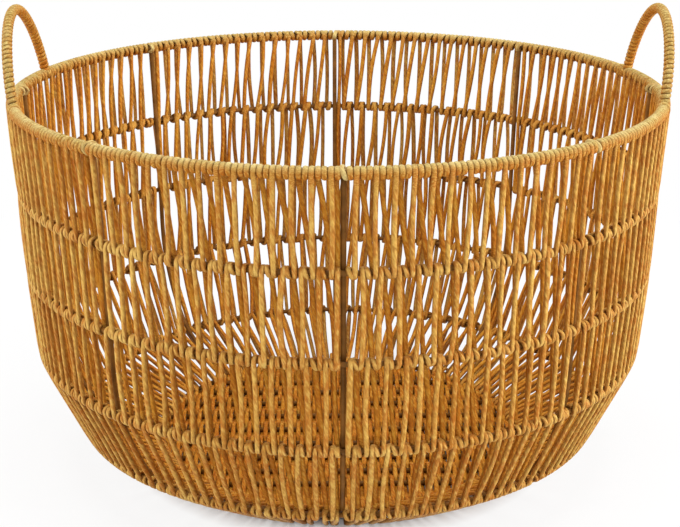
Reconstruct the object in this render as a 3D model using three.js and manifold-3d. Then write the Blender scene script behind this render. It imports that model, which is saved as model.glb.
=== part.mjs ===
// Round storage basket: a welded steel wire frame wound with twisted paper cord, with two fixed loop handles.
// Millimetres, +Z up. The origin is on the ground under the middle of the basket, and the handles lie on the X axis.

import * as THREE from 'three';
import { mergeVertices } from 'three/addons/utils/BufferGeometryUtils.js';
import Module from 'manifold-3d';

const wasm = await Module();
wasm.setup();

// Wire and cord
const HOOP_WIRE = 3;
const RIB_WIRE = 3;
const FLOOR_WIRE = 3;
const HANDLE_WIRE = 3;
const CORD_WIDTH = 3;
const CORD_THICKNESS = 2.4;
const CLEARANCE = 0.35;

// Hoops from the rim down: radius of the wire's middle line, and its rise over the base ring
const RIM_RADIUS = 195;
const RIM_RISE = 227.5;
const UPPER_HOOP_RADIUS = 192;
const UPPER_HOOP_RISE = 175;
const MIDDLE_HOOP_RADIUS = 190;
const MIDDLE_HOOP_RISE = 125;
const LOWER_HOOP_RADIUS = 186;
const LOWER_HOOP_RISE = 74;
const FOOT_HOOP_RADIUS = 162.5;
const FOOT_HOOP_RISE = 24;
const BASE_RING_RADIUS = 118.5;

// Ribs: degrees between the front or back rib and the ribs beside it
const FRONT_PANEL_ANGLE = 42.5;

// Cord turns between two ribs in a band: every second turn of the real winding
const FRONT_PANEL_TURNS = 8;
const SIDE_PANEL_TURNS = 9;

// Floor: the thickness of the mat over its wires, and the room between the foot winding and the ground
const FLOOR_COVER = 1.2;
const GROUND_GAP = 0.2;

// Handles: the arch over the rim, and its feet in turns of the side winding from the side rib
const HANDLE_RISE = 49;
const HANDLE_LEAN = 8;
const HANDLE_NARROWING = 1.2;
const HANDLE_FOOT_TURNS = 3;
const HANDLE_TURNS = 18;
const HANDLE_BARE_FOOT = 8;

// Facets
const RING_SEGMENTS = 48;
const WIRE_SIDES = 6;
const RIB_STEPS = 16;
const HANDLE_STEPS = 20;
const HANDLE_TURN_STEPS = 6;

// Colours and finishes
const steel = new THREE.MeshStandardMaterial({ color: 0x6f4d20, roughness: 0.55, metalness: 0.6 });
const cord = new THREE.MeshStandardMaterial({ color: 0xc08a3e, roughness: 0.85, metalness: 0 });
const boundCord = new THREE.MeshStandardMaterial({ color: 0xcda35c, roughness: 0.8, metalness: 0 });

const radians = THREE.MathUtils.degToRad;
const basket = new THREE.Group();

function addPiece(name, geometry, material) {
  const mesh = new THREE.Mesh(geometry, material);
  mesh.name = name;
  basket.add(mesh);
}

// A hoop's section centre as (radius, height over the base ring)
const rim = new THREE.Vector2(RIM_RADIUS, RIM_RISE);
const upperHoop = new THREE.Vector2(UPPER_HOOP_RADIUS, UPPER_HOOP_RISE);
const middleHoop = new THREE.Vector2(MIDDLE_HOOP_RADIUS, MIDDLE_HOOP_RISE);
const lowerHoop = new THREE.Vector2(LOWER_HOOP_RADIUS, LOWER_HOOP_RISE);
const footHoop = new THREE.Vector2(FOOT_HOOP_RADIUS, FOOT_HOOP_RISE);
const baseRing = new THREE.Vector2(BASE_RING_RADIUS, 0);
const profile = [rim, upperHoop, middleHoop, lowerHoop, footHoop, baseRing];

// The cord's flat side faces the wire that it goes round
const cordInside = CORD_THICKNESS / 3;
const cordOutside = CORD_THICKNESS - cordInside;
const cordReach = HOOP_WIRE / 2 + CLEARANCE + cordInside;
const cordSection = [
  [-CORD_WIDTH / 2, -cordInside],
  [CORD_WIDTH / 2, -cordInside],
  [0, cordOutside],
];

// A band of the wall, between an upper and a lower hoop
function makeBand(name, upper, lower) {
  const down = lower.clone().sub(upper).normalize();
  const out = new THREE.Vector2(-down.y, down.x);
  return { name, upper, lower, down, out };
}

const bands = [
  makeBand('top', rim, upperHoop),
  makeBand('upper', upperHoop, middleHoop),
  makeBand('middle', middleHoop, lowerHoop),
  makeBand('lower', lowerHoop, footHoop),
  makeBand('foot', footHoop, baseRing),
];

// A corner of a turn, reach away from the hoop's middle to the out or in side and past its upper or lower side
function turnCorner(band, hoop, outSign, downSign, reach) {
  return hoop.clone()
    .addScaledVector(band.out, outSign * reach)
    .addScaledVector(band.down, downSign * reach);
}

// The base ring is as high as its cord needs to clear the ground
const footBand = bands[bands.length - 1];
const footTip = turnCorner(footBand, baseRing, 1, 1, cordReach + cordOutside);
const baseHeight = GROUND_GAP - footTip.y;
basket.position.z = baseHeight;

// Ribs and the panels after them, anticlockwise from the right-hand handle
const sidePanelAngle = 90 - FRONT_PANEL_ANGLE;
const ribNames = ['right', 'back_right', 'back', 'back_left', 'left', 'front_left', 'front', 'front_right'];
const panels = [];
let panelStart = 0;
for (let index = 0; index < ribNames.length; index += 1) {
  const beside = index % 4 === 0 || index % 4 === 3;
  const angle = beside ? sidePanelAngle : FRONT_PANEL_ANGLE;
  const turns = beside ? SIDE_PANEL_TURNS : FRONT_PANEL_TURNS;
  panels.push({ start: panelStart, turns, pitch: angle / turns });
  panelStart += angle;
}
const sidePitch = sidePanelAngle / SIDE_PANEL_TURNS;

function outwards(degrees) {
  return new THREE.Vector3(Math.cos(radians(degrees)), Math.sin(radians(degrees)), 0);
}

function along(degrees) {
  return outwards(degrees + 90);
}

function wireSection(diameter) {
  const section = new THREE.Shape();
  for (let side = 0; side < WIRE_SIDES; side += 1) {
    const turn = (2 * Math.PI * side) / WIRE_SIDES;
    const x = (diameter / 2) * Math.cos(turn);
    const y = (diameter / 2) * Math.sin(turn);
    if (side === 0) section.moveTo(x, y);
    else section.lineTo(x, y);
  }
  section.closePath();
  return section;
}

// A hoop of round wire, with its facets centred on the true circle
function hoopGeometry(hoop) {
  const radius = (2 * hoop.x) / (1 + Math.cos(Math.PI / RING_SEGMENTS));
  const outline = [];
  for (let side = 0; side <= WIRE_SIDES; side += 1) {
    const turn = (2 * Math.PI * (side % WIRE_SIDES)) / WIRE_SIDES;
    const x = radius + (HOOP_WIRE / 2) * Math.cos(turn);
    const y = hoop.y + (HOOP_WIRE / 2) * Math.sin(turn);
    outline.push(new THREE.Vector2(x, y));
  }
  return new THREE.LatheGeometry(outline, RING_SEGMENTS).rotateX(Math.PI / 2);
}

function sweptWire(path, diameter, steps) {
  const section = wireSection(diameter);
  return new THREE.ExtrudeGeometry(section, { steps, bevelEnabled: false, extrudePath: path });
}

// A tube through stations of section points, closed at both ends
function cordGeometry(stations) {
  const sides = cordSection.length;
  const positions = stations.flat().flatMap((point) => point.toArray());
  const faces = [[2, 1, 0]];
  for (let station = 0; station + 1 < stations.length; station += 1) {
    const here = station * sides;
    const next = here + sides;
    for (let side = 0; side < sides; side += 1) {
      const after = (side + 1) % sides;
      faces.push([here + side, here + after, next + after]);
      faces.push([here + side, next + after, next + side]);
    }
  }
  const last = (stations.length - 1) * sides;
  faces.push([last, last + 1, last + 2]);
  const geometry = new THREE.BufferGeometry();
  geometry.setAttribute('position', new THREE.Float32BufferAttribute(positions, 3));
  geometry.setIndex(faces.flat());
  geometry.computeVertexNormals();
  return geometry;
}

// Least gap of a cord to itself, measured on points of the runs that are at least a number of runs apart
function leastGap(path, runsApart) {
  const samples = 10;
  const runs = [];
  for (let run = 0; run + 1 < path.length; run += 1) {
    const points = [];
    for (let sample = 0; sample <= samples; sample += 1) {
      points.push(path[run].clone().lerp(path[run + 1], sample / samples));
    }
    runs.push(points);
  }
  let least = Infinity;
  for (let run = 0; run < runs.length; run += 1) {
    for (let other = run + runsApart; other < Math.min(runs.length, run + 3 * runsApart); other += 1) {
      for (const point of runs[run]) {
        for (const away of runs[other]) least = Math.min(least, point.distanceTo(away));
      }
    }
  }
  return least - CORD_WIDTH;
}

function toSolid(geometry) {
  const weldDistance = 1e-4;
  const bare = geometry.clone();
  bare.deleteAttribute('normal');
  bare.deleteAttribute('uv');
  const merged = mergeVertices(bare, weldDistance);
  const vertProperties = new Float32Array(merged.attributes.position.array);
  const triVerts = new Uint32Array(merged.index.array);
  return new wasm.Manifold(new wasm.Mesh({ numProp: 3, vertProperties, triVerts }));
}

function toGeometry(solid) {
  const mesh = solid.getMesh();
  const geometry = new THREE.BufferGeometry();
  geometry.setAttribute('position', new THREE.Float32BufferAttribute(mesh.vertProperties, 3));
  geometry.setIndex(Array.from(mesh.triVerts));
  geometry.computeVertexNormals();
  return geometry;
}

// The rim and the four hoops of the wall
addPiece('rim_ring', hoopGeometry(rim), steel);
addPiece('upper_hoop', hoopGeometry(upperHoop), steel);
addPiece('middle_hoop', hoopGeometry(middleHoop), steel);
addPiece('lower_hoop', hoopGeometry(lowerHoop), steel);
addPiece('foot_hoop', hoopGeometry(footHoop), steel);

// Floor wires across the base ring, ending in every second gap between the turns of the foot winding
const wireSeatRadius = BASE_RING_RADIUS - cordReach;

// Room beside a wire that crosses the gap at a slant, up to the turns on either side
function roomBesideWire(angle) {
  const halfGap = (radians(sidePitch) / 2) * wireSeatRadius;
  const slant = cordOutside * Math.tan(radians(angle));
  const halfWire = FLOOR_WIRE / 2 / Math.cos(radians(angle));
  return halfGap - slant - halfWire - CORD_WIDTH / 2;
}

const wireOffsets = [0];
for (let gap = 2; gap < SIDE_PANEL_TURNS; gap += 2) {
  const angle = gap * sidePitch;
  if (roomBesideWire(angle) > CLEARANCE) wireOffsets.push(wireSeatRadius * Math.sin(radians(angle)));
}

function floorWire(offset, diameter, length) {
  const wire = new THREE.CylinderGeometry(diameter / 2, diameter / 2, length, WIRE_SIDES);
  return toSolid(wire.rotateZ(Math.PI / 2).translate(0, offset, 0));
}

// The mat lies on the ground, with a tunnel round each wire
const wireBore = (FLOOR_WIRE + 2 * CLEARANCE) / Math.cos(Math.PI / WIRE_SIDES);
const matThickness = baseHeight + wireBore / 2 + FLOOR_COVER;
const footInnerTip = turnCorner(footBand, baseRing, -1, 1, cordReach + cordOutside);
const matRadius = footInnerTip.x - CLEARANCE;
const mat = new THREE.CylinderGeometry(matRadius, matRadius, matThickness, RING_SEGMENTS);
mat.rotateX(Math.PI / 2).translate(0, 0, matThickness / 2 - baseHeight);
let baseGrid = toSolid(hoopGeometry(baseRing));
let floorMat = toSolid(mat);
for (const offset of wireOffsets) {
  const length = 2 * Math.sqrt(BASE_RING_RADIUS ** 2 - offset ** 2);
  for (const side of offset === 0 ? [1] : [1, -1]) {
    baseGrid = baseGrid.add(floorWire(side * offset, FLOOR_WIRE, length));
    floorMat = floorMat.subtract(floorWire(side * offset, wireBore, length));
  }
}
addPiece('base_grid', toGeometry(baseGrid), steel);
addPiece('floor_mat', toGeometry(floorMat), cord);

// Ribs, bent to lie on the inside of every hoop and on top of the base ring
const ribReach = HOOP_WIRE / 2 + CLEARANCE + RIB_WIRE / 2;
const ribLine = profile.map((hoop, index) => {
  const above = bands[Math.max(index - 1, 0)];
  const below = bands[Math.min(index, bands.length - 1)];
  const inwards = above.out.clone().add(below.out).normalize();
  return hoop.clone().addScaledVector(inwards, -ribReach);
});
ribNames.forEach((name, index) => {
  const outward = outwards(panels[index].start);
  const points = ribLine.map((spot) => outward.clone().multiplyScalar(spot.x).setZ(spot.y));
  const path = new THREE.CatmullRomCurve3(points, false, 'centripetal');
  addPiece(`rib_${name}`, sweptWire(path, RIB_WIRE, RIB_STEPS), steel);
});

// Corners of one cord wound clockwise through a panel: over the upper hoop, down outside, under the lower, up inside
function windingCorners(band, angles, reach) {
  const corners = [];
  for (const angle of angles) {
    corners.push([angle, turnCorner(band, band.upper, -1, -1, reach)]);
    corners.push([angle, turnCorner(band, band.upper, 1, -1, reach)]);
    corners.push([angle, turnCorner(band, band.lower, 1, 1, reach)]);
    corners.push([angle, turnCorner(band, band.lower, -1, 1, reach)]);
  }
  return corners.map(([angle, spot]) => ({
    angle,
    point: outwards(angle).multiplyScalar(spot.x).setZ(spot.y),
  }));
}

// Bands take turns at a shared hoop: every second band has its cord in the gaps of the others
bands.forEach((band, row) => {
  panels.forEach((panel, index) => {
    const shifted = row % 2;
    const angles = [];
    for (let turn = panel.turns - 1; turn >= shifted; turn -= 1) {
      angles.push(panel.start + (turn + (shifted ? 0 : 0.5)) * panel.pitch);
    }
    const runs = cordSection.map(([, lift]) => windingCorners(band, angles, cordReach + lift));
    const stations = runs[0].map((first, corner) => cordSection.map(([shift], side) => {
      const { point } = runs[side][corner];
      return point.clone().addScaledVector(along(first.angle), shift);
    }));
    addPiece(`${band.name}_winding_${index + 1}`, cordGeometry(stations), cord);
    if (index === 0) {
      const path = windingCorners(band, angles, cordReach).map(({ point }) => point);
      console.log(`${band.name} winding, least gap to itself: ${leastGap(path, 2).toFixed(1)} mm`);
    }
  });
});

// The arch of a handle: half an ellipse, narrowed towards its top, that stands on the rim and leans outwards
class HandleArch extends THREE.Curve {
  constructor(side) {
    super();
    const footAngle = radians(HANDLE_FOOT_TURNS * sidePitch);
    this.side = side;
    this.halfSpan = RIM_RADIUS * Math.sin(footAngle);
    this.footX = RIM_RADIUS * Math.cos(footAngle);
    this.footZ = RIM_RISE + HOOP_WIRE / 2 + CLEARANCE;
    this.rise = RIM_RISE + HANDLE_RISE - this.footZ;
  }

  getPoint(part, target = new THREE.Vector3()) {
    const turn = Math.PI * part;
    const lift = this.rise * Math.sin(turn) ** HANDLE_NARROWING;
    const x = this.footX + lift * Math.tan(radians(HANDLE_LEAN));
    return target.set(this.side * x, -this.halfSpan * Math.cos(turn), this.footZ + lift);
  }

  // Square to the plane of the arch, away from the basket
  getPlaneNormal() {
    const lean = radians(HANDLE_LEAN);
    return new THREE.Vector3(this.side * Math.cos(lean), 0, -Math.sin(lean));
  }
}

// The binding of a handle: one cord wound round the rod between its bare feet
function bindingStations(arch, lift) {
  const length = arch.getLength();
  const normal = arch.getPlaneNormal();
  const steps = HANDLE_TURNS * HANDLE_TURN_STEPS;
  const corner = 1 / Math.cos(Math.PI / HANDLE_TURN_STEPS);
  const reach = (HANDLE_WIRE / 2 + CLEARANCE + cordInside + lift) * corner;
  const stations = [];
  for (let step = 0; step <= steps; step += 1) {
    const travel = HANDLE_BARE_FOOT + ((length - 2 * HANDLE_BARE_FOOT) * step) / steps;
    const centre = arch.getPointAt(travel / length);
    const tangent = arch.getTangentAt(travel / length);
    const turn = (2 * Math.PI * step) / HANDLE_TURN_STEPS;
    const across = tangent.clone().cross(normal);
    const outward = normal.clone().multiplyScalar(Math.cos(turn)).addScaledVector(across, Math.sin(turn));
    stations.push({ tangent, point: centre.addScaledVector(outward, reach) });
  }
  return stations;
}

for (const [name, side] of [['right', 1], ['left', -1]]) {
  const arch = new HandleArch(side);
  addPiece(`handle_rod_${name}`, sweptWire(arch, HANDLE_WIRE, HANDLE_STEPS), steel);
  const runs = cordSection.map(([, lift]) => bindingStations(arch, lift));
  const stations = runs[0].map((first, step) => cordSection.map(([shift], corner) => {
    const { point } = runs[corner][step];
    return point.clone().addScaledVector(first.tangent, shift);
  }));
  addPiece(`handle_binding_${name}`, cordGeometry(stations), boundCord);
  if (side > 0) {
    const path = bindingStations(arch, 0).map(({ point }) => point);
    console.log(`handle binding, least gap to itself: ${leastGap(path, HANDLE_TURN_STEPS - 1).toFixed(1)} mm`);
  }
}

export default basket;
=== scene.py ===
import math

import bpy
import numpy as np
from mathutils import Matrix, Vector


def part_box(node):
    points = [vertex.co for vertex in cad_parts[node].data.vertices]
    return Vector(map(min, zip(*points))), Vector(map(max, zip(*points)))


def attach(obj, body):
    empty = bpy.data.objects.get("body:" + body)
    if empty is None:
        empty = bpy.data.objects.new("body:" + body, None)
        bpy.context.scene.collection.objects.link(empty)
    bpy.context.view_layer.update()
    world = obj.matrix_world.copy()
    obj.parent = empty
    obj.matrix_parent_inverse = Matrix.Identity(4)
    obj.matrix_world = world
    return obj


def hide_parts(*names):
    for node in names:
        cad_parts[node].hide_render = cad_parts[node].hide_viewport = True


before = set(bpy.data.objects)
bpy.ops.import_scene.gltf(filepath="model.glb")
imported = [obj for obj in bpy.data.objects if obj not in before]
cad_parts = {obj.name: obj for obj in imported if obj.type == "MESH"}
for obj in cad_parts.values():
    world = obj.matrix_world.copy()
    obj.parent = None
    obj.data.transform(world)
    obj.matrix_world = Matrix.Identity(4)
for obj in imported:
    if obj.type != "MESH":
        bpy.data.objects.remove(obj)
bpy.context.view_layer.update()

# Wire and cord, in metres
WIRE_RADIUS = 0.0015
CORD_WIDTH = 0.0030
CORD_THICKNESS = 0.0026
WRAP_THICKNESS = 0.0020
RIM_THICKNESS = 0.0022
BINDING_PITCH = 0.0028
BINDING_THICKNESS = 0.0017
LAY_LENGTH = 0.0042
FIBRE_LENGTH = 0.014
WELD_GAP = 0.00035
GROUND_GAP = 0.0001

# Faces round a piece of cord, a ring and a rod, and points along them
CORD_SIDES = 8
RING_SIDES = 10
ROD_SIDES = 12
RING_POINTS = 240
RIB_POINTS = 14
STRAND_POINTS = 6

# Panels between the ribs, anticlockwise from the right-hand handle
FRONT_PANEL_ANGLE = math.radians(42.5)
SIDE_PANEL_ANGLE = math.radians(47.5)
FRONT_PANEL_TURNS = 15
SIDE_PANEL_TURNS = 18
RIB_NAMES = ("right", "back_right", "back", "back_left", "left", "front_left", "front", "front_right")
HANDLE_RIBS = ("right", "left")
RIB_GAP = 0.0030

# Hoops from the top down, and the bands of the wall between them
HOOP_NODES = {
    "rim": "rim_ring",
    "upper": "upper_hoop",
    "middle": "middle_hoop",
    "lower": "lower_hoop",
    "foot": "foot_hoop",
    "base": "base_grid",
}
BANDS = (
    ("top", "rim", "upper"),
    ("upper", "upper", "middle"),
    ("middle", "middle", "lower"),
    ("lower", "lower", "foot"),
    ("foot", "foot", "base"),
)

# Order of the places on a hoop in one turn, clockwise
SLOT_ORDER = {
    "rim": ("ring", "crest", "ring"),
    "upper": ("crest", "enter", "ring"),
    "middle": ("enter", "ring", "crest"),
    "lower": ("ring", "crest", "enter"),
    "foot": ("crest", "enter", "ring"),
    "base": ("enter",),
}

# Sideways step of the cord in each band from run to run, and the share of it taken on the upper hoop
CORD_STEPS = (0.0022, 0.0042, 0.0046, 0.0046, 0.0046)
SHARE_SEED = 2325
UPPER_SHARES = np.random.default_rng(SHARE_SEED).random((len(BANDS), len(RIB_NAMES)))

# Wraps on the hoops: their width as a share of their spacing, and their slant
WRAP_OVERLAP = 0.98
RIM_OVERLAP = 1.06
WRAP_SLANT = 0.0011

# How uneven the winding is, as shares of a spacing or a width, or in metres
WINDING_SEED = 7
SLOT_JITTER = 0.16
RIM_JITTER = 0.02
WIDTH_SPREAD = 0.08
STEP_SPREAD = 0.0004
RING_SPREAD = 0.0003
SIDEWAYS_BOW = 0.0008
OUTWARD_BOW = 0.0002

# Bends of the cord round a hoop: 0 is outside, a quarter turn is on top and half a turn is inside
TUCK_BEND = np.linspace(math.pi / 2, -math.pi, 12)
OVER_BEND = np.linspace(math.pi, 0, 9)
LEAD_BEND = np.linspace(math.pi, -2 * math.pi, 23)
LEAD_QUARTERS = (-2, -1, 1, 3, 4)
UNDER_BEND = np.linspace(0, -math.pi, 9)
TAIL_BEND = np.linspace(-math.pi, -1.6 * math.pi, 6)[1:]
RING_BEND = np.linspace(0, 2 * math.pi, 18, endpoint=False)
LASHING_BEND = np.linspace(0, 2 * math.pi, 24, endpoint=False)

# Lashings over the ribs, each loop with its place beside the rib and its lift over it
LASHING_SEED = 31
LASHING_SLANT = 0.0012
LASHING_LOOPS = ((0.0, 1.0),)
HANDLE_LASHING_LOOPS = ((0.0023, 0.4), (0.0, 1.0), (-0.0023, 0.4))
LASHING_SHARPNESS = 4

# Handles: the lean and shape of the arch, how far their cord goes on along the rim, and how it swells there
HANDLE_SEED = 53
HANDLE_LEAN = math.radians(8)
HANDLE_NARROWING = 1.2
HANDLE_ELBOW = 0.0075
HANDLE_FOOT_BULGE = 0.0011
ARCH_POINTS = 400
ROD_POINTS = 80
ELBOW_POINTS = 30
BINDING_STEPS = 14

# Floor cords, and the wires they are woven on, which follow the solids
FLOOR_SEED = 97
FLOOR_PITCH = 0.00265
FLOOR_SPREAD = 0.00015
FLOOR_TIGHT_WIDTH = 0.0027
FLOOR_LOOSE_WIDTH = 0.0034
FLOOR_EDGE = 0.0012
FLOOR_TUCK = 0.0045
FLOOR_TUCK_LEVEL = -0.2
FLOOR_END_ROOM = 4
FLOOR_STEPS = 8
FLOOR_WIRE_ROWS = 5
FLOOR_WIRE_POINTS = 3
GAPS_PER_FLOOR_WIRE = 2
SIDE_FLOOR_GAPS = 9
SOLID_CORD_REACH = 0.00265

# Tones of the cord, 0 deep to 1 light: the first, the share kept in the next turn, and means and spreads
START_TONE = 0.5
TONE_KEPT = 0.5
STRAND_TONE = (0.25, 0.23)
WRAP_TONE = (0.5, 0.15)
HANDLE_TONE = (0.2, 0.15)
# The floor cord's low mean tone is painted shade inside the basket
FLOOR_SHADED_TONE = (0.12, 0.12)

# Tints of the cord as tone, paleness and warmth, where paleness is partly painted light and warmth is
# painted shade: of wraps on a hoop, and how painted light and shade change them on its inner side
WIRE_TINT = (0.5, 0, 0)
HOOP_TINT = np.array([0, 0.4, 0.1])
HOOP_INSIDE_PAINTED_LIGHTING = np.array([0.35, -0.15, 0.7])
# Paleness of the runs down the outside, which is painted light on them
OUTSIDE_PAINTED_LIGHT = 0.3
LASHING_PALENESS = 0.9

# Painted light on the upper side of a wrap, with painted shade below it: how far, how fast it falls off,
# and what is left beside and below
RIM_TOP_PAINTED_LIGHT = 0.9
HANDLE_TOP_PAINTED_LIGHT = 0.85
PAINTED_LIGHT_FALL = 1.7
PAINTED_LIGHT_CONTRAST = 1.5
BASE_PALENESS = 0.1
PAINTED_PALENESS_INSIDE = 0.25
PAINTED_SHADE_WARMTH = 0.4

# Colours, written as 0 to 255
WALL_DEEP = (178, 106, 18)
WALL_LIGHT = (208, 156, 48)
# Pale cord, used partly as painted light on the sides of the cord that face the lamps
PALE_DEEP = (152, 129, 63)
PALE_LIGHT = (198, 182, 124)
# Painted highlight along the fibres
SHINE_WARM = (222, 177, 76)
SHINE_PALE = (226, 206, 136)
# Warm colour of the painted shade on inner and lower sides
SHADE_WARM_COLOUR = (194, 120, 28)
DRIFT_COLOUR = (174, 96, 20)
FIBRE_COLOUR = (140, 80, 18)
# Colour of the painted shade on the edges of the cord
EDGE_SHADE_COLOUR = (108, 52, 8)
# Colour of the painted shade in the groove between the strands
GROOVE_SHADE_COLOUR = (122, 64, 12)
WIRE_DEEP = (98, 63, 20)
WIRE_LIGHT = (132, 88, 36)

# Shares of those colours, by ranges of a noise or tint: from low, from high, to low and to high
# Share of the warm painted shade
SHADE_WARM_SHARE = 0.5
DRIFT_RANGE = (0.42, 0.62)
DRIFT_LIMIT = (0.3, 1.0, 0.6, 0.15)
# Range of the painted highlight on the fibres
SHINE_RANGE = (0.5, 0.66, 0.0, 0.5)
FIBRE_RANGE = (0.47, 0.33, 0.0, 0.5)
SPECKLE_RANGE = (0.3, 0.7, -0.2, 0.2)
# Ranges of the painted shade on the edges of the cord
EDGE_SHADE_RANGE = (0.5, 1.0)
EDGE_SHADE_RISE = (0.3, 0.4, 0.4, 0.65)
EDGE_SHADE_FALL = (0.4, 0.55, 1.0, 0.4)
# Range of the painted shade in the groove
GROOVE_SHADE_RANGE = (0.0, 0.5, 0.11, 0.0)
PATCH_RANGE = (0.35, 0.65)

# Roughness by such ranges, relief as strength and depth, and the heights of strands and fibres in it
CORD_ROUGHNESS = (0.3, 0.7, 0.62, 0.48)
WIRE_ROUGHNESS = (0.3, 0.7, 0.42, 0.6)
CORD_RELIEF = (0.7, 0.0003)
WIRE_RELIEF = (0.25, 0.0002)
STRAND_ROUNDNESS = 0.5
STRAND_HEIGHT = 0.7
FIBRE_HEIGHT = 0.9
SPECULAR = 0.12

# Strands and fibres of the cord, and noises as scale and detail
STRANDS = 2.0
FIBRES_AROUND = 2.5
FIBRES_ALONG = 160.0
FIBRES_BY_TONE = 37.0
FIBRE_NOISE = (1.6, 3.0)
DRIFT_NOISE = (150.0, 2.0)
SPECKLE_NOISE = (520.0, 2.0)
PATCH_NOISE = (120.0, 4.0)
GRAIN_NOISE = (900.0, 2.0)

# Pale floor that shows the camera only the shadow near the basket, and the light from all sides
WHITE = (1, 1, 1, 1)
FLOOR_GREY = (0.75, 0.75, 0.75, 1)
FLOOR_SIZE = 30
CONTACT_INSIDE = 0.004
CONTACT_OUTSIDE = 0.02
SHADOW_NEAR = 0.2
SHADOW_FAR = 0.6
SHADOW_GLOW = 0.84
WORLD_STRENGTH = 0.81

# Point that the lamps face, and soft lamps as name, place, size and power
LAMP_TARGET = (0, 0, 0.12)
SOFTBOXES = (
    ("left_softbox", (-1.9, -0.5, 0.9), 1.6, 26),
    ("right_softbox", (1.9, -0.5, 0.9), 1.6, 45),
    ("top_softbox", (0, -0.3, 1.9), 1.2, 14),
)

# Camera, from a fit to the rings of the photographed basket
PHOTO_WIDTH = 680
LENS_MM = 77.93
CAMERA_DISTANCE = 0.8872
CAMERA_HEIGHT = 0.4202
CAMERA_PITCH = math.radians(18.61)
CAMERA_ORBIT = math.radians(-0.8)
AXIS_OFFSET_PX = 1.8


def hoop_of(node):
    """(radius, height) of the middle line of a ring of wire."""
    low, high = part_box(node)
    return np.array([high.x - WIRE_RADIUS, (low.z + high.z) / 2])


def panel_list():
    """(start angle, angle, turns) of each panel."""
    panels = []
    start = 0.0
    for rib, next_rib in zip(RIB_NAMES, RIB_NAMES[1:] + RIB_NAMES[:1]):
        beside_handle = rib in HANDLE_RIBS or next_rib in HANDLE_RIBS
        angle = SIDE_PANEL_ANGLE if beside_handle else FRONT_PANEL_ANGLE
        turns = SIDE_PANEL_TURNS if beside_handle else FRONT_PANEL_TURNS
        panels.append((start, angle, turns))
        start += angle
    return panels


HOOPS = {key: hoop_of(node) for key, node in HOOP_NODES.items()}
PANELS = panel_list()


# Tubes


def unit(vectors):
    return vectors / np.linalg.norm(vectors, axis=-1, keepdims=True)


def outwards(angle):
    angle = np.asarray(angle, float)
    return np.stack([np.cos(angle), np.sin(angle), np.zeros_like(angle)], -1)


def along(angle):
    return outwards(np.asarray(angle, float) + math.pi / 2)


def make_tube(points, lateral, width, thickness, tint, closed=False):
    """A tube's stations: middle points, sideways directions, full width and thickness, and tint."""
    count = len(points)
    return {
        "points": np.asarray(points, float),
        "lateral": np.broadcast_to(np.asarray(lateral, float), (count, 3)),
        "width": np.broadcast_to(np.asarray(width, float), (count,)),
        "thickness": np.broadcast_to(np.asarray(thickness, float), (count,)),
        "tint": np.broadcast_to(np.asarray(tint, float), (count, 3)),
        "closed": closed,
    }


def wire_tube(points, lateral, closed=False):
    return make_tube(points, lateral, 2 * WIRE_RADIUS, 2 * WIRE_RADIUS, WIRE_TINT, closed)


def tube_mesh(tube, sides):
    """(vertices, quads, end faces, a UV for each corner of the quads, tint of each vertex)."""
    points = tube["points"]
    count = len(points)
    if tube["closed"]:
        tangent = unit(np.roll(points, -1, 0) - np.roll(points, 1, 0))
    else:
        tangent = unit(np.gradient(points, axis=0))
    lateral = tube["lateral"]
    lateral = unit(lateral - tangent * (lateral * tangent).sum(1, keepdims=True))
    normal = np.cross(tangent, lateral)
    turn = np.linspace(0, 2 * math.pi, sides, endpoint=False)
    side = lateral[:, None] * (np.cos(turn)[None, :, None] * tube["width"][:, None, None] / 2)
    lift = normal[:, None] * (np.sin(turn)[None, :, None] * tube["thickness"][:, None, None] / 2)
    vertices = (points[:, None] + side + lift).reshape(-1, 3)
    rings = count if tube["closed"] else count - 1
    here = np.arange(rings)[:, None]
    there = (here + 1) % count
    k = np.arange(sides)[None]
    after = (k + 1) % sides
    quads = np.stack([here * sides + k, here * sides + after, there * sides + after, there * sides + k], -1)
    steps = np.linalg.norm(np.diff(np.vstack([points, points[:1]]), axis=0), axis=1)
    travel = np.concatenate([[0.0], np.cumsum(steps)])
    u_here = np.broadcast_to(travel[:rings, None], (rings, sides))
    u_there = np.broadcast_to(travel[1 : rings + 1, None], (rings, sides))
    v_here = np.broadcast_to(k / sides, (rings, sides))
    v_after = v_here + 1 / sides
    corners = [u_here, v_here, u_here, v_after, u_there, v_after, u_there, v_here]
    uv = np.stack(corners, -1).reshape(-1, 4, 2)
    ends = []
    if not tube["closed"]:
        ends = [np.arange(sides)[::-1], (count - 1) * sides + np.arange(sides)]
    return vertices, quads.reshape(-1, 4), ends, uv, np.repeat(tube["tint"], sides, 0)


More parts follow.
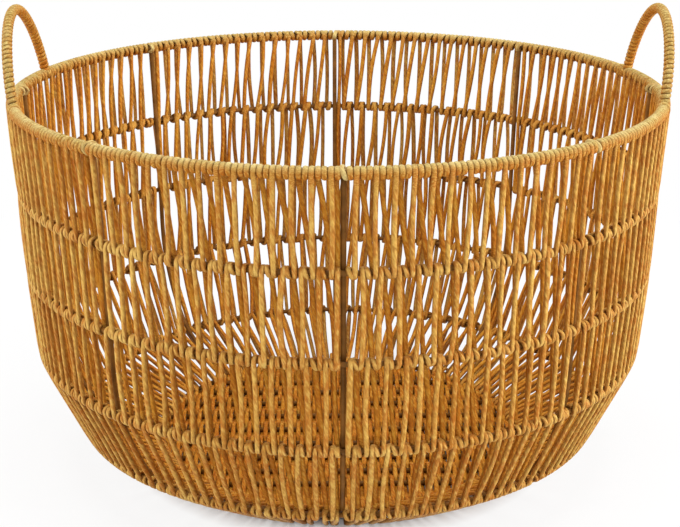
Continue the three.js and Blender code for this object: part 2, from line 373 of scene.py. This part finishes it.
def join_tubes(name, tubes, material, sides):
    """One smooth object made of tubes, with a UV map in metres along and turns around, and a tint."""
    made = [tube_mesh(tube, sides) for tube in tubes]
    first = np.cumsum([0] + [len(part[0]) for part in made])
    vertices = np.concatenate([part[0] for part in made])
    quads = np.concatenate([part[1] + start for part, start in zip(made, first)])
    ends = [end + start for part, start in zip(made, first) for end in part[2]]
    uv = np.concatenate([part[3] for part in made]).reshape(-1, 2)
    tint = np.concatenate([part[4] for part in made])
    corners = np.concatenate([quads.reshape(-1), *ends]).astype(np.int32)
    sizes = np.concatenate([np.full(len(quads), 4), np.full(len(ends), sides)]).astype(np.int32)
    starts = np.concatenate([[0], np.cumsum(sizes)[:-1]]).astype(np.int32)
    mesh = bpy.data.meshes.new(name)
    mesh.vertices.add(len(vertices))
    mesh.vertices.foreach_set("co", vertices.astype(np.float32).reshape(-1))
    mesh.loops.add(len(corners))
    mesh.loops.foreach_set("vertex_index", corners)
    mesh.polygons.add(len(sizes))
    mesh.polygons.foreach_set("loop_start", starts)
    mesh.polygons.foreach_set("loop_total", sizes)
    mesh.polygons.foreach_set("use_smooth", np.ones(len(sizes), bool))
    layer = mesh.uv_layers.new(name="cord")
    all_uv = np.zeros((len(corners), 2), np.float32)
    all_uv[: len(uv)] = uv
    layer.data.foreach_set("uv", all_uv.reshape(-1))
    colours = mesh.attributes.new("tint", "FLOAT_COLOR", "POINT")
    colours.data.foreach_set("color", np.c_[tint, np.ones(len(tint))].astype(np.float32).reshape(-1))
    mesh.update(calc_edges=True)
    mesh.validate()
    mesh.materials.append(material)
    piece = bpy.data.objects.new(name, mesh)
    bpy.context.scene.collection.objects.link(piece)
    return piece


def add_piece(name, tubes, material, slot, *nodes, sides=CORD_SIDES):
    piece = join_tubes(name, tubes, material, sides)
    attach(piece, "root")
    if nodes:
        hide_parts(*nodes)


# Materials


class Nodes:
    """A short way to write a node tree."""

    # Sockets of a mix of colours: factor, first and second, and the result
    MIX_INPUTS = (0, 6, 7)
    MIX_RESULT = 2

    def __init__(self, tree):
        self.tree = tree
        self.tree.nodes.clear()

    def add(self, kind, inputs=None, **settings):
        node = self.tree.nodes.new(kind)
        for key, value in settings.items():
            setattr(node, key, value)
        for key, value in (inputs or {}).items():
            if isinstance(value, bpy.types.NodeSocket):
                self.tree.links.new(value, node.inputs[key])
            else:
                node.inputs[key].default_value = value
        return node

    def math(self, operation, first, second=0.0):
        return self.add("ShaderNodeMath", {0: first, 1: second}, operation=operation).outputs[0]

    def mix(self, factor, first, second):
        inputs = dict(zip(self.MIX_INPUTS, (factor, first, second)))
        return self.add("ShaderNodeMix", inputs, data_type="RGBA").outputs[self.MIX_RESULT]

    def noise(self, place, size, detail):
        inputs = {"Vector": place, "Scale": size, "Detail": detail}
        return self.add("ShaderNodeTexNoise", inputs).outputs["Fac"]

    def scale(self, value, low, high, to_low=0.0, to_high=1.0):
        inputs = {"Value": value, "From Min": low, "From Max": high, "To Min": to_low, "To Max": to_high}
        return self.add("ShaderNodeMapRange", inputs).outputs["Result"]

    def surface(self, colour, roughness, height, strength, distance):
        """The surface of a cord or wire, with a fine relief."""
        bump = self.add("ShaderNodeBump", {"Height": height, "Strength": strength, "Distance": distance})
        shader = self.add("ShaderNodeBsdfPrincipled", {
            "Base Color": colour,
            "Roughness": roughness,
            "Specular IOR Level": SPECULAR,
            "Normal": bump.outputs["Normal"],
        })
        self.add("ShaderNodeOutputMaterial", {"Surface": shader.outputs[0]})


def srgb(colour):
    """A linear colour from one written as 0 to 255."""
    channels = np.array(colour) / 255
    linear = np.where(channels <= 0.04045, channels / 12.92, ((channels + 0.055) / 1.055) ** 2.4)
    return (*linear.tolist(), 1.0)


def new_material(name):
    material = bpy.data.materials.new(name)
    material.use_nodes = True
    return material, Nodes(material.node_tree)


def cord_material():
    """Twisted paper cord: strands laid in a helix, fibres along them, and tints from the mesh, which hold
    painted light and shade.
    """
    material, nodes = new_material("twisted_cord")
    place = nodes.add("ShaderNodeUVMap", uv_map="cord").outputs["UV"]
    travel, round_share = nodes.add("ShaderNodeSeparateXYZ", {0: place}).outputs[:2]
    tint = nodes.add("ShaderNodeAttribute", attribute_name="tint")
    tone, paleness_and_light, shade_warmth = nodes.add("ShaderNodeSeparateColor", {0: tint.outputs["Color"]}).outputs[:3]
    spot = nodes.add("ShaderNodeTexCoord").outputs["Object"]

    # The lay of the strands, the fibres, and slow and fine changes of colour
    strand_round = nodes.math("MULTIPLY", round_share, STRANDS)
    turns = nodes.math("ADD", nodes.math("DIVIDE", travel, LAY_LENGTH), strand_round)
    lay = nodes.scale(nodes.math("SINE", nodes.math("MULTIPLY", turns, 2 * math.pi)), -1, 1)
    slow_turns = nodes.math("ADD", nodes.math("DIVIDE", travel, FIBRE_LENGTH), strand_round)
    fibre_place = nodes.add("ShaderNodeCombineXYZ", {
        0: nodes.math("MULTIPLY", slow_turns, FIBRES_AROUND),
        1: nodes.math("MULTIPLY", travel, FIBRES_ALONG),
        2: nodes.math("MULTIPLY", tone, FIBRES_BY_TONE),
    }).outputs[0]
    fibres = nodes.noise(fibre_place, *FIBRE_NOISE)
    drift = nodes.noise(spot, *DRIFT_NOISE)
    speckle = nodes.noise(spot, *SPECKLE_NOISE)

    # Colour by tone, by paleness, which is partly painted light and partly a paler cord, and by warmth,
    # which is painted shade, with drifts, fibres and a painted highlight on the fibres
    wall = nodes.mix(tone, srgb(WALL_DEEP), srgb(WALL_LIGHT))
    pale_and_lit_colour = nodes.mix(tone, srgb(PALE_DEEP), srgb(PALE_LIGHT))
    shine = nodes.mix(paleness_and_light, srgb(SHINE_WARM), srgb(SHINE_PALE))
    colour = nodes.mix(paleness_and_light, wall, pale_and_lit_colour)
    # Warm painted shade where the tint's warmth says so
    colour = nodes.mix(nodes.math("MULTIPLY", shade_warmth, SHADE_WARM_SHARE), colour, srgb(SHADE_WARM_COLOUR))
    drift_limit = nodes.scale(paleness_and_light, *DRIFT_LIMIT)
    drift_share = nodes.math("MULTIPLY", nodes.scale(drift, *DRIFT_RANGE), drift_limit)
    colour = nodes.mix(drift_share, colour, srgb(DRIFT_COLOUR))
    # Painted highlight on the fibres
    colour = nodes.mix(nodes.scale(fibres, *SHINE_RANGE), colour, shine)
    colour = nodes.mix(nodes.scale(fibres, *FIBRE_RANGE), colour, srgb(FIBRE_COLOUR))

    # Painted shade on the edges of the cord, broken up by speckles and most on the wraps of the hoops, and
    # painted shade in the groove between the strands
    side = nodes.math("ABSOLUTE", nodes.math("COSINE", nodes.math("MULTIPLY", round_share, 2 * math.pi)))
    side = nodes.math("ADD", side, nodes.scale(speckle, *SPECKLE_RANGE))
    edge_shade_depth = nodes.math("MULTIPLY", nodes.scale(paleness_and_light, *EDGE_SHADE_RISE), nodes.scale(paleness_and_light, *EDGE_SHADE_FALL))
    edge_shade = nodes.math("MULTIPLY", nodes.scale(side, *EDGE_SHADE_RANGE), edge_shade_depth)
    colour = nodes.mix(edge_shade, colour, srgb(EDGE_SHADE_COLOUR))
    # Painted shade in the groove between the strands
    colour = nodes.mix(nodes.scale(lay, *GROOVE_SHADE_RANGE), colour, srgb(GROOVE_SHADE_COLOUR))

    # Relief of rounded strands with fibres on them
    strands = nodes.math("MULTIPLY", nodes.math("POWER", lay, STRAND_ROUNDNESS), STRAND_HEIGHT)
    height = nodes.math("ADD", strands, nodes.math("MULTIPLY", fibres, FIBRE_HEIGHT))
    nodes.surface(colour, nodes.scale(fibres, *CORD_ROUGHNESS), height, *CORD_RELIEF)
    return material


def wire_material():
    """Brown satin paint on steel wire, a little uneven."""
    material, nodes = new_material("painted_wire")
    spot = nodes.add("ShaderNodeTexCoord").outputs["Object"]
    patches = nodes.noise(spot, *PATCH_NOISE)
    grain = nodes.noise(spot, *GRAIN_NOISE)
    colour = nodes.mix(nodes.scale(patches, *PATCH_RANGE), srgb(WIRE_DEEP), srgb(WIRE_LIGHT))
    nodes.surface(colour, nodes.scale(patches, *WIRE_ROUGHNESS), grain, *WIRE_RELIEF)
    return material


CORD = cord_material()
WIRE = wire_material()


# Frame wires


def ring_tube(hoop):
    angle = np.linspace(0, 2 * math.pi, RING_POINTS, endpoint=False)
    points = outwards(angle) * hoop[0]
    points[:, 2] = hoop[1]
    return wire_tube(points, outwards(angle), closed=True)


def smooth_line(corners, steps):
    """A curve through points, rounded at each of them."""
    corners = np.asarray(corners, float)
    padded = np.vstack([2 * corners[0] - corners[1], corners, 2 * corners[-1] - corners[-2]])
    lengths = np.sqrt(np.linalg.norm(np.diff(padded, axis=0), axis=1))
    knots = np.concatenate([[0.0], np.cumsum(lengths)])
    pieces = []
    for index in range(1, len(padded) - 2):
        t0, t1, t2, t3 = knots[index - 1 : index + 3]
        p0, p1, p2, p3 = padded[index - 1 : index + 3]
        t = np.linspace(t1, t2, steps, endpoint=index == len(padded) - 3)[:, None]
        a1 = (t1 - t) / (t1 - t0) * p0 + (t - t0) / (t1 - t0) * p1
        a2 = (t2 - t) / (t2 - t1) * p1 + (t - t1) / (t2 - t1) * p2
        a3 = (t3 - t) / (t3 - t2) * p2 + (t - t2) / (t3 - t2) * p3
        b1 = (t2 - t) / (t2 - t0) * a1 + (t - t0) / (t2 - t0) * a2
        b2 = (t3 - t) / (t3 - t1) * a2 + (t - t1) / (t3 - t1) * a3
        pieces.append((t2 - t) / (t2 - t1) * b1 + (t - t1) / (t2 - t1) * b2)
    return np.vstack(pieces)


def band_axes(upper, lower):
    """Unit directions down a band of the wall and out of it, as (radius, height)."""
    down = unit(lower - upper)
    return down, np.array([-down[1], down[0]])


def rib_line():
    """Places of a rib on the inside of the hoops, as (radius, height)."""
    outs = [band_axes(HOOPS[upper], HOOPS[lower])[1] for _, upper, lower in BANDS]
    spots = []
    for index, hoop in enumerate(HOOPS.values()):
        above = outs[max(index - 1, 0)]
        below = outs[min(index, len(outs) - 1)]
        spots.append(hoop - unit(above + below) * (2 * WIRE_RADIUS + WELD_GAP))
    return np.array(spots)


def make_frame():
    """The hoops of the wall and the ribs, as smooth round wire."""
    for key, node in HOOP_NODES.items():
        if key != "base":
            add_piece(f"{key}_wire", [ring_tube(HOOPS[key])], WIRE, "painted_wire", node, sides=RING_SIDES)
    line = smooth_line(rib_line(), RIB_POINTS)
    for name, (start, _, _) in zip(RIB_NAMES, PANELS):
        points = outwards(np.full(len(line), start)) * line[:, :1]
        points[:, 2] = line[:, 1]
        tube = wire_tube(points, along(start))
        add_piece(f"rib_wire_{name}", [tube], WIRE, "painted_wire", f"rib_{name}", sides=ROD_SIDES)


def floor_wire_offsets():
    """Offsets from the middle of the floor wires, going by the gaps that their ends fit between."""
    pitch = SIDE_PANEL_ANGLE / SIDE_FLOOR_GAPS * GAPS_PER_FLOOR_WIRE
    seat = HOOPS["base"][0] - SOLID_CORD_REACH
    return [seat * math.sin(row * pitch) for row in range(FLOOR_WIRE_ROWS)]


FLOOR_WIRES = floor_wire_offsets()


def make_base_grid():
    """The base ring and the floor wires across it."""
    radius, height = HOOPS["base"]
    tubes = [ring_tube(HOOPS["base"])]
    for offset in FLOOR_WIRES:
        reach = math.sqrt(radius**2 - offset**2)
        for y in sorted({offset, -offset}):
            points = np.linspace((-reach, y, height), (reach, y, height), FLOOR_WIRE_POINTS)
            tubes.append(wire_tube(points, (0, 1, 0)))
    add_piece("base_wires", tubes, WIRE, "painted_wire", "base_grid", sides=RING_SIDES)


# Windings of the wall


def wrap_points(hoop, axes, reach, angle, turn):
    """Points round a hoop: turn is 0 outside, a quarter on top, a half inside."""
    down, out = axes
    reach = np.asarray(reach, float)[..., None]
    turn = np.asarray(turn, float)[..., None]
    spot = hoop + reach * (np.cos(turn) * out - np.sin(turn) * down)
    points = outwards(angle) * spot[..., :1]
    points[..., 2] = spot[..., 1]
    return points


def slot_angles(key, panel_index):
    """({kind: angles}, width of a wrap) for a hoop and panel.

    A crest is the cord of the band below going over the hoop, and enter is the cord of the band above
    going under it. A ring is one more wrap. A lead is a ring just before a crest, by its cord, or None.
    """
    rng = np.random.default_rng((list(HOOPS).index(key), panel_index))
    start, angle, turns = PANELS[panel_index]
    radius = HOOPS[key][0]
    kinds = SLOT_ORDER[key] * turns
    step = (angle - RIB_GAP / radius) / len(kinds)
    if key == "rim":
        jitter = RIM_JITTER
        width = step * radius * RIM_OVERLAP
    else:
        jitter = SLOT_JITTER
        width = min(step * radius * WRAP_OVERLAP, CORD_WIDTH)
    slots = {kind: [] for kind in ("crest", "enter", "ring", "lead")}
    lead = None
    for kind, after, index in zip(kinds, kinds[1:] + ("rib",), range(len(kinds))):
        place = start + angle - RIB_GAP / radius / 2 - (index + 0.5 + rng.normal(0, jitter)) * step
        if kind == "ring" and after == "crest":
            lead = place
            continue
        slots[kind].append(place)
        if kind == "crest":
            slots["lead"].append(lead)
            lead = None
    return slots, width


def strand_points(start, end, lateral, normal, rng):
    """Points between two ends of a run of cord, which bows a little."""
    part = np.linspace(0, 1, STRAND_POINTS + 2)[1:-1, None]
    bow = np.sin(math.pi * part)
    sideways = rng.normal(0, SIDEWAYS_BOW)
    return start + (end - start) * part + bow * (lateral * sideways + normal * rng.normal(0, OUTWARD_BOW))


def random_tone(rng, mean_and_spread, count=None):
    """One tone, or as many as count says."""
    return np.clip(rng.normal(*mean_and_spread, count), 0, 1)


def ring_wraps(rng, hoop, axes, places, width, thickness, slant, shade):
    """Closed wraps round a hoop, at a slant."""
    tubes = []
    for place in places:
        over = place - rng.normal(slant, RING_SPREAD) / hoop[0] * np.sin(RING_BEND)
        spots = wrap_points(hoop, axes, WIRE_RADIUS + thickness / 2, over, RING_BEND)
        tint = shade(random_tone(rng, WRAP_TONE), RING_BEND)
        tubes.append(make_tube(spots, along(place), width, thickness, tint, closed=True))
    return tubes


def top_lit_shade(tone, bend, top_light=RIM_TOP_PAINTED_LIGHT):
    """Tints round a wrap with painted light on its upper side and darker, warmer painted shade below, where
    bend is a quarter turn.
    """
    height = (0.5 + 0.5 * np.sin(bend)) ** PAINTED_LIGHT_FALL
    light = np.clip(PAINTED_LIGHT_CONTRAST * height - (PAINTED_LIGHT_CONTRAST - 1), 0, 1)
    inside = np.clip(-np.cos(bend), 0, 1) * (1 - height)
    paleness = BASE_PALENESS + top_light * height + PAINTED_PALENESS_INSIDE * inside
    return np.stack([tone * light, paleness, PAINTED_SHADE_WARMTH - PAINTED_SHADE_WARMTH * height], -1)


def hoop_shade(tone, bend):
    """Tints round a wrap on a hoop, with painted light and warm painted shade on its inner side, where bend
    is half a turn.
    """
    inside = np.clip(-np.cos(bend), 0, 1)[:, None]
    return np.clip(np.array([tone, 0, 0]) + HOOP_TINT + HOOP_INSIDE_PAINTED_LIGHTING * inside, 0, 1)


class Cord:
    """A cord under way: its stations so far."""

    def __init__(self):
        self.stations = {"points": [], "lateral": [], "width": [], "thickness": [], "tint": []}

    def add(self, points, angle, width, thickness, tint):
        count = len(points)
        self.stations["points"].append(points)
        self.stations["lateral"].append(along(np.broadcast_to(angle, (count,))))
        self.stations["width"].append(np.broadcast_to(width, (count,)))
        self.stations["thickness"].append(np.broadcast_to(thickness, (count,)))
        self.stations["tint"].append(np.broadcast_to(tint, (count, 3)))

    def tube(self):
        return make_tube(**{key: np.concatenate(parts) for key, parts in self.stations.items()})


def winding_tubes(row, panel_index):
    """The cord of one panel of a band, and the rings on its lower hoop and on the rim."""
    _, upper_key, lower_key = BANDS[row]
    start, angle, _ = PANELS[panel_index]
    upper, lower = HOOPS[upper_key], HOOPS[lower_key]
    axes = band_axes(upper, lower)
    above, top_width = slot_angles(upper_key, panel_index)
    below, low_width = slot_angles(lower_key, panel_index)
    rng = np.random.default_rng((WINDING_SEED, row, panel_index))
    on_rim = upper_key == "rim"
    top_thickness = RIM_THICKNESS if on_rim else WRAP_THICKNESS
    # On the rim the wraps get painted light on top and painted shade below
    top_shade = top_lit_shade if on_rim else hoop_shade
    top_reach = WIRE_RADIUS + top_thickness / 2
    low_reach = WIRE_RADIUS + WRAP_THICKNESS / 2
    if lower_key == "base":
        low_reach = lower[1] - WRAP_THICKNESS / 2 - GROUND_GAP
    beside_rib = (RIB_GAP + CORD_WIDTH) / 2
    top_limit = start + angle - beside_rib / upper[0]
    low_limit = start + beside_rib / lower[0]
    upper_step = CORD_STEPS[row] * UPPER_SHARES[row, panel_index]
    lower_step = CORD_STEPS[row] - upper_step
    cord = Cord()

    def wrap_upper(places, bend, tone):
        spots = wrap_points(upper, axes, top_reach, places, bend)
        cord.add(spots, places, top_width, top_thickness, top_shade(tone, bend))
        return spots[-1]

    def wrap_lower(places, bend, tone):
        spots = wrap_points(lower, axes, low_reach, places, bend)
        cord.add(spots, places, low_width, WRAP_THICKNESS, hoop_shade(tone, bend))
        return spots[-1]

    # The end that is tucked in beside the rib
    tone = START_TONE
    low_place = start + angle - beside_rib / lower[0]
    here = wrap_lower(low_place, TUCK_BEND, tone)
    for crest, lead, enter in zip(above["crest"], above["lead"], below["enter"]):
        tone = np.clip(tone * TONE_KEPT + rng.normal(*STRAND_TONE), 0, 1)
        width = CORD_WIDTH * rng.normal(1, WIDTH_SPREAD)

        # Up the inside
        arrive = min(crest + (upper_step + rng.normal(0, STEP_SPREAD)) / upper[0], top_limit)
        there = wrap_points(upper, axes, top_reach, arrive, math.pi)
        run = strand_points(here, there, along(crest), -outwards(crest), rng)
        # Warmth 1 is painted warm shade on the run up the inside
        cord.add(run, np.linspace(low_place, arrive, len(run)), width, CORD_THICKNESS, (tone, 0, 1))

        # Over the upper hoop, after one more wrap where there is a place for it
        if lead is None:
            here = wrap_upper(np.linspace(arrive, crest, len(OVER_BEND)), OVER_BEND, tone)
        else:
            slant = 0.0 if on_rim else rng.normal(WRAP_SLANT, STEP_SPREAD) / upper[0]
            stops = (arrive, lead - slant, lead + slant, crest, crest)
            places = np.interp(-2 * LEAD_BEND / math.pi, LEAD_QUARTERS, stops)
            here = wrap_upper(places, LEAD_BEND, tone)

        # Down the outside
        there = wrap_points(lower, axes, low_reach, enter, 0.0)
        run = strand_points(here, there, along(crest), outwards(crest), rng)
        # Paleness here is painted light on the run down the outside
        outside_tint = (tone, OUTSIDE_PAINTED_LIGHT, 0)
        cord.add(run, np.linspace(crest, enter, len(run)), width, CORD_THICKNESS, outside_tint)

        # Under the lower hoop
        low_place = max(enter - (lower_step + rng.normal(0, STEP_SPREAD)) / lower[0], low_limit)
        here = wrap_lower(np.linspace(enter, low_place, len(UNDER_BEND)), UNDER_BEND, tone)

    # The other end goes on round the hoop
    wrap_lower(low_place, TAIL_BEND, tone)
    tubes = [cord.tube()]
    if on_rim:
        tubes += ring_wraps(rng, upper, axes, above["ring"], top_width, RIM_THICKNESS, 0.0, top_lit_shade)
    tubes += ring_wraps(rng, lower, axes, below["ring"], low_width, WRAP_THICKNESS, WRAP_SLANT, hoop_shade)
    return tubes


def make_windings():
    for row, (band, _, _) in enumerate(BANDS):
        for panel_index in range(len(PANELS)):
            number = panel_index + 1
            tubes = winding_tubes(row, panel_index)
            add_piece(f"{band}_cord_{number}", tubes, CORD, "wound_cord", f"{band}_winding_{number}")


# Lashings where the ribs end at the rim


def make_lashings():
    """A loop of cord at a slant over the top of each rib, or straight ones under a handle."""
    rng = np.random.default_rng(LASHING_SEED)
    rim = HOOPS["rim"]
    axes = band_axes(rim, HOOPS["upper"])
    reach = WIRE_RADIUS + RIM_THICKNESS / 2
    over_rib = (2 * WIRE_RADIUS + WELD_GAP) * np.clip(-np.cos(LASHING_BEND), 0, 1) ** LASHING_SHARPNESS
    for name, (start, _, _) in zip(RIB_NAMES, PANELS):
        tubes = []
        slant, loops = LASHING_SLANT, LASHING_LOOPS
        if name in HANDLE_RIBS:
            slant, loops = 0.0, HANDLE_LASHING_LOOPS
        for shift, lift in loops:
            places = start + (shift - slant * np.sin(LASHING_BEND)) / rim[0]
            spots = wrap_points(rim, axes, reach + lift * over_rib, places, LASHING_BEND)
            tint = (random_tone(rng, WRAP_TONE), LASHING_PALENESS, 0)
            tubes.append(make_tube(spots, along(start), CORD_WIDTH, RIM_THICKNESS, tint, closed=True))
        add_piece(f"rib_lashing_{name}", tubes, CORD, "wound_cord")


# Handles


def handle_facts():
    """Half the span of a handle's rod, its foot's distance from the axis and height, and its rise."""
    low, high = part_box("handle_rod_right")
    half_span = (high.y - low.y) / 2 - WIRE_RADIUS
    foot_x = math.sqrt(HOOPS["rim"][0] ** 2 - half_span**2)
    return half_span, foot_x, low.z, high.z - WIRE_RADIUS - low.z


HANDLE_HALF_SPAN, HANDLE_FOOT_X, HANDLE_FOOT_Z, HANDLE_RISE = handle_facts()


def evenly(line, count):
    """The same line with a number of evenly spaced points, and its length."""
    travel = np.concatenate([[0.0], np.cumsum(np.linalg.norm(np.diff(line, axis=0), axis=1))])
    even = np.linspace(0, travel[-1], count)
    return np.stack([np.interp(even, travel, line[:, axis]) for axis in range(3)], -1), travel[-1]


def handle_arch(side):
    turn = np.linspace(0, math.pi, ARCH_POINTS)
    lift = HANDLE_RISE * np.abs(np.sin(turn)) ** HANDLE_NARROWING
    x = side * (HANDLE_FOOT_X + lift * math.tan(HANDLE_LEAN))
    return np.stack([x, -HANDLE_HALF_SPAN * np.cos(turn), HANDLE_FOOT_Z + lift], -1)


def handle_elbow(side, end):
    """From a foot of a handle down to the rim, and along it away from the other foot."""
    radius, height = HOOPS["rim"]
    angle = math.atan2(end * HANDLE_HALF_SPAN, side * HANDLE_FOOT_X)
    away = HANDLE_ELBOW / radius * side * end
    foot = np.array([side * HANDLE_FOOT_X, end * HANDLE_HALF_SPAN, HANDLE_FOOT_Z])
    corner = outwards(angle) * radius + np.array([0, 0, height])
    tip = outwards(angle + away) * radius + np.array([0, 0, height])
    part = np.linspace(0, 1, ELBOW_POINTS)[1:, None]
    return (1 - part) ** 2 * foot + 2 * part * (1 - part) * corner + part**2 * tip


def make_handle(name, side):
    """A handle's rod, and the cord bound round it from elbow to elbow."""
    rng = np.random.default_rng(HANDLE_SEED + side)
    arch = handle_arch(side)
    normal = np.array([side * math.cos(HANDLE_LEAN), 0, -math.sin(HANDLE_LEAN)])
    line, _ = evenly(arch, ROD_POINTS)
    rod = wire_tube(line, normal)
    add_piece(f"handle_wire_{name}", [rod], WIRE, "painted_wire", f"handle_rod_{name}", sides=ROD_SIDES)

    whole = np.vstack([handle_elbow(side, -1)[::-1], arch, handle_elbow(side, 1)])
    _, length = evenly(whole, 2)
    turns = round(length / BINDING_PITCH)
    line, _ = evenly(whole, turns * BINDING_STEPS + 1)
    tangent = unit(np.gradient(line, axis=0))
    outward = unit(normal - tangent * (tangent @ normal)[:, None])
    across = np.cross(tangent, outward)
    turn = 2 * math.pi * np.arange(len(line)) / BINDING_STEPS
    low = np.clip((HANDLE_FOOT_Z - line[:, 2]) / (HANDLE_FOOT_Z - HOOPS["rim"][1]), 0, 1)
    reach = WIRE_RADIUS + BINDING_THICKNESS / 2 + HANDLE_FOOT_BULGE * low
    points = line + reach[:, None] * (np.cos(turn)[:, None] * outward + np.sin(turn)[:, None] * across)
    tones = random_tone(rng, HANDLE_TONE, turns + 2)
    tone = np.interp(np.arange(len(line)) / BINDING_STEPS, np.arange(turns + 2), tones)
    # Painted light on the outer side of the arch and warm painted shade on its inner side
    tint = top_lit_shade(tone, -side * turn, HANDLE_TOP_PAINTED_LIGHT)
    binding = make_tube(points, tangent, BINDING_PITCH, BINDING_THICKNESS, tint)
    add_piece(f"handle_cord_{name}", [binding], CORD, "bound_cord", f"handle_binding_{name}")


# Floor


def floor_end(half, level):
    """(distance, level) of an end of a floor cord: over the base ring, or tucked in beside it."""
    return (half, 1.0) if level < 0 else (half - FLOOR_TUCK, FLOOR_TUCK_LEVEL)


def floor_stops(half, order, reach):
    """(distance, level) where a floor cord meets each wire, over and under in turn, and at its ends."""
    wires = sorted({sign * offset for offset in FLOOR_WIRES for sign in (1, -1)})
    stops = []
    for index, y in enumerate(wires):
        if abs(y) < half - FLOOR_END_ROOM * reach:
            stops.append((y, 1 - 2 * ((index + order) % 2)))
    if not stops:
        return stops
    first, last = (floor_end(half, stop[1]) for stop in (stops[0], stops[-1]))
    return [(-first[0], first[1]), *stops, last]


def floor_cord(rng, x, order):
    """One cord from the front of the base ring to the back, or None where it would cross no wire."""
    radius, height = HOOPS["base"]
    reach = WIRE_RADIUS + WRAP_THICKNESS / 2
    half = math.sqrt((radius - FLOOR_EDGE) ** 2 - x**2)
    stops = floor_stops(half, order, reach)
    if not stops:
        return None
    x += rng.normal(0, FLOOR_SPREAD)
    part = np.linspace(0, 1, FLOOR_STEPS, endpoint=False)
    points, widths = [], []
    for (y, level), (next_y, next_level) in zip(stops, stops[1:]):
        swing = (level + next_level) / 2 + (level - next_level) / 2 * np.cos(math.pi * part)
        run = [np.full(len(part), x), y + (next_y - y) * part, height + reach * swing]
        points.append(np.stack(run, -1))
        widths.append(FLOOR_LOOSE_WIDTH + (FLOOR_TIGHT_WIDTH - FLOOR_LOOSE_WIDTH) * swing**2)
    last_y, last_level = stops[-1]
    points.append([(x, last_y, height + reach * last_level)])
    widths.append([FLOOR_TIGHT_WIDTH])
    # Darker tone as painted shade on the floor
    tint = (random_tone(rng, FLOOR_SHADED_TONE), 0, 0)
    return make_tube(np.vstack(points), (1, 0, 0), np.concatenate(widths), WRAP_THICKNESS, tint)


def make_floor():
    rng = np.random.default_rng(FLOOR_SEED)
    count = int(HOOPS["base"][0] / FLOOR_PITCH)
    tubes = [floor_cord(rng, order * FLOOR_PITCH, order) for order in range(-count, count + 1)]
    add_piece("floor_cord", [tube for tube in tubes if tube], CORD, "wound_cord", "floor_mat")


# Stage


def white_for_camera(nodes):
    """One for the rays that show the background itself."""
    path = nodes.add("ShaderNodeLightPath")
    seen = nodes.math("MAXIMUM", path.outputs["Is Camera Ray"], path.outputs["Is Glossy Ray"])
    return nodes.math("MAXIMUM", seen, path.outputs["Is Transmission Ray"])


def make_studio_floor():
    """A pale floor, clear from below, that is white to the camera apart from the shadow near the basket."""
    bpy.ops.mesh.primitive_plane_add(size=FLOOR_SIZE)
    floor = bpy.context.object
    floor.name = "studio_floor"
    material, nodes = new_material("studio_floor")
    diffuse = nodes.add("ShaderNodeBsdfDiffuse", {"Color": FLOOR_GREY})
    glow = nodes.add("ShaderNodeEmission", {"Color": WHITE, "Strength": 1.0})
    spot = nodes.add("ShaderNodeTexCoord").outputs["Object"]
    distance = nodes.add("ShaderNodeVectorMath", {0: spot}, operation="LENGTH").outputs["Value"]
    base_radius = HOOPS["base"][0]
    beside = nodes.scale(distance, base_radius - CONTACT_INSIDE, base_radius + CONTACT_OUTSIDE)
    far = nodes.scale(distance, SHADOW_NEAR, SHADOW_FAR, SHADOW_GLOW, 1.0)
    share = nodes.math("MULTIPLY", white_for_camera(nodes), nodes.math("MULTIPLY", beside, far))
    mixed = nodes.add("ShaderNodeMixShader", {0: share, 1: diffuse.outputs[0], 2: glow.outputs[0]})
    clear = nodes.add("ShaderNodeBsdfTransparent")
    below = nodes.add("ShaderNodeNewGeometry").outputs["Backfacing"]
    whole = nodes.add("ShaderNodeMixShader", {0: below, 1: mixed.outputs[0], 2: clear.outputs[0]})
    nodes.add("ShaderNodeOutputMaterial", {"Surface": whole.outputs[0]})
    floor.data.materials.append(material)


def make_world():
    """Even light from all sides, and plain white to the camera."""
    world = bpy.data.worlds.new("studio")
    bpy.context.scene.world = world
    world.use_nodes = True
    nodes = Nodes(world.node_tree)
    strength = nodes.scale(white_for_camera(nodes), 0, 1, WORLD_STRENGTH, 1.0)
    sky = nodes.add("ShaderNodeBackground", {"Color": WHITE, "Strength": strength})
    nodes.add("ShaderNodeOutputWorld", {"Surface": sky.outputs[0]})


def add_softbox(name, place, size, power):
    lamp = bpy.data.lights.new(name, "AREA")
    lamp.shape = "DISK"
    lamp.size = size
    lamp.energy = power
    lamp_object = bpy.data.objects.new(name, lamp)
    bpy.context.scene.collection.objects.link(lamp_object)
    lamp_object.location = place
    aim = np.array(LAMP_TARGET) - np.array(place)
    lamp_object.rotation_euler = Vector(aim).to_track_quat("-Z", "Y").to_euler()


def make_camera():
    camera = bpy.data.cameras.new("photo_camera")
    camera.lens = LENS_MM
    camera.shift_x = AXIS_OFFSET_PX / PHOTO_WIDTH
    camera_object = bpy.data.objects.new("photo_camera", camera)
    bpy.context.scene.collection.objects.link(camera_object)
    x = CAMERA_DISTANCE * math.sin(CAMERA_ORBIT)
    y = -CAMERA_DISTANCE * math.cos(CAMERA_ORBIT)
    camera_object.location = (x, y, CAMERA_HEIGHT)
    camera_object.rotation_euler = (math.pi / 2 - CAMERA_PITCH, 0, CAMERA_ORBIT)
    bpy.context.scene.camera = camera_object


make_camera()
make_frame()
make_base_grid()
make_windings()
make_lashings()
make_handle("right", 1)
make_handle("left", -1)
make_floor()
make_studio_floor()
make_world()
for softbox in SOFTBOXES:
    add_softbox(*softbox)
bpy.context.scene.view_settings.view_transform = "Standard"
